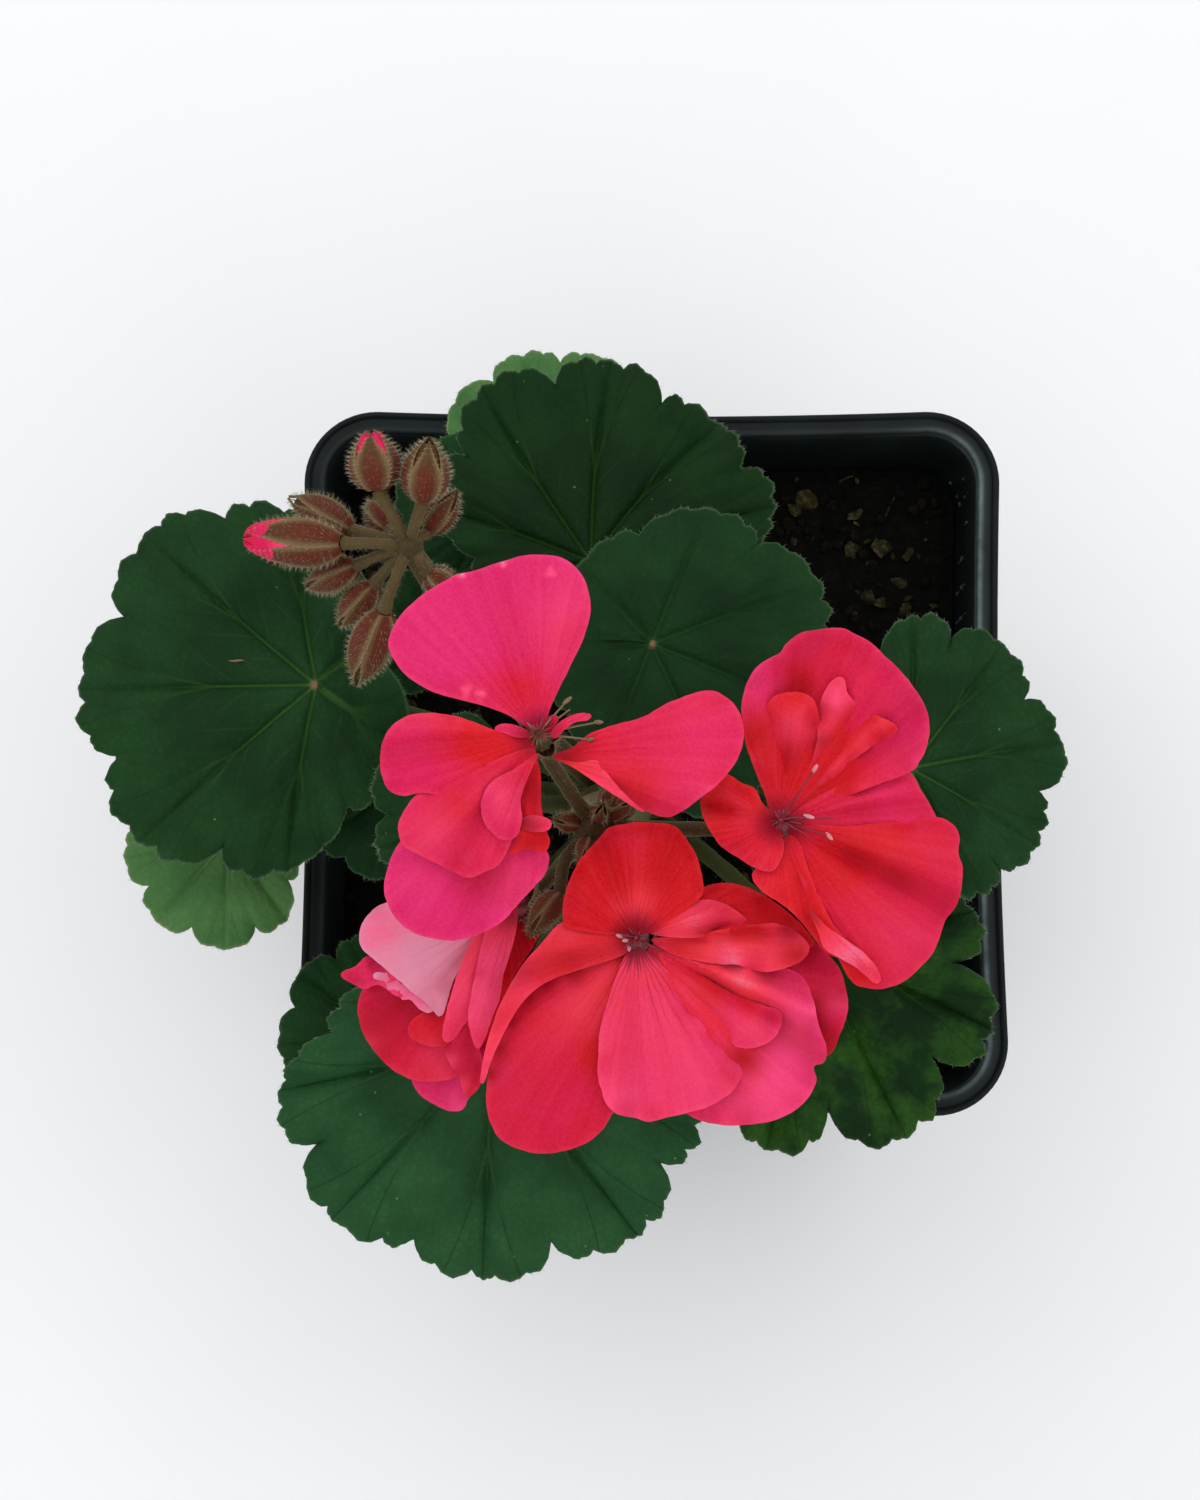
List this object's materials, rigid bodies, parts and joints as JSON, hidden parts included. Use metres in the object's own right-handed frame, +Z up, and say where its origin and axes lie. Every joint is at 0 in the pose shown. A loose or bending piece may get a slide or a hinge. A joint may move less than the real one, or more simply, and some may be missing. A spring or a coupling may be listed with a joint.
{
  "type": "potted zonal geranium",
  "caption": "Young zonal geranium in a square plastic nursery pot, with scalloped leaves on long stalks, an open umbel of ruffled pink-red florets and an umbel in bud.",
  "frame": {"origin": "centre of the pot's base, on the surface that it stands on", "axes": "+Z up, +X to the right and +Y to the top of the picture, which looks down on the plant"},
  "size_m": [0.1444, 0.1421, 0.21],
  "materials": {
    "pot_plastic": "thin black-green nursery pot plastic, satin, faint scuffs",
    "peat": null,
    "stem_bark": "green-brown half-woody stem with leaf scars",
    "leaf_mature": "dark green felted leaf, pale ribs near the stalk, pale hairy edge",
    "leaf_young": "young light green felted leaf",
    "flower_stalk": "olive-brown hairy flower stalk",
    "bud_skin": "olive to red-brown sepals with pale hairy edges",
    "petal_pink": "velvety hot pink petal with darker veins",
    "petal_red": "velvety scarlet to crimson petal, pinker at the rim"
  },
  "bodies": {
    "root": {"pot": "pot_plastic", "soil": "peat", "stem": "stem_bark", "leaf_left_large": "leaf_mature", "leaf_left_young": "leaf_young", "leaf_left_under": "leaf_mature", "leaf_centre_small": "leaf_mature", "leaf_front_young": "leaf_young", "leaf_front_large": "leaf_mature", "leaf_front_right": "leaf_mature", "leaf_right": "leaf_mature", "leaf_back_large": "leaf_mature", "leaf_back_upper": "leaf_mature", "leaf_back_young": "leaf_young", "leaf_back_left": "leaf_mature", "leaf_right_low": "leaf_mature", "leaf_left_low": "leaf_mature", "umbel_stalk": "flower_stalk", "floret_upper": "petal_pink", "floret_right": "petal_red", "floret_front": "petal_red", "floret_left": "petal_pink", "bud_cluster": "bud_skin", "bud_petals_back": "petal_pink", "bud_petals_left": "petal_pink"}
  },
  "joints": []
}
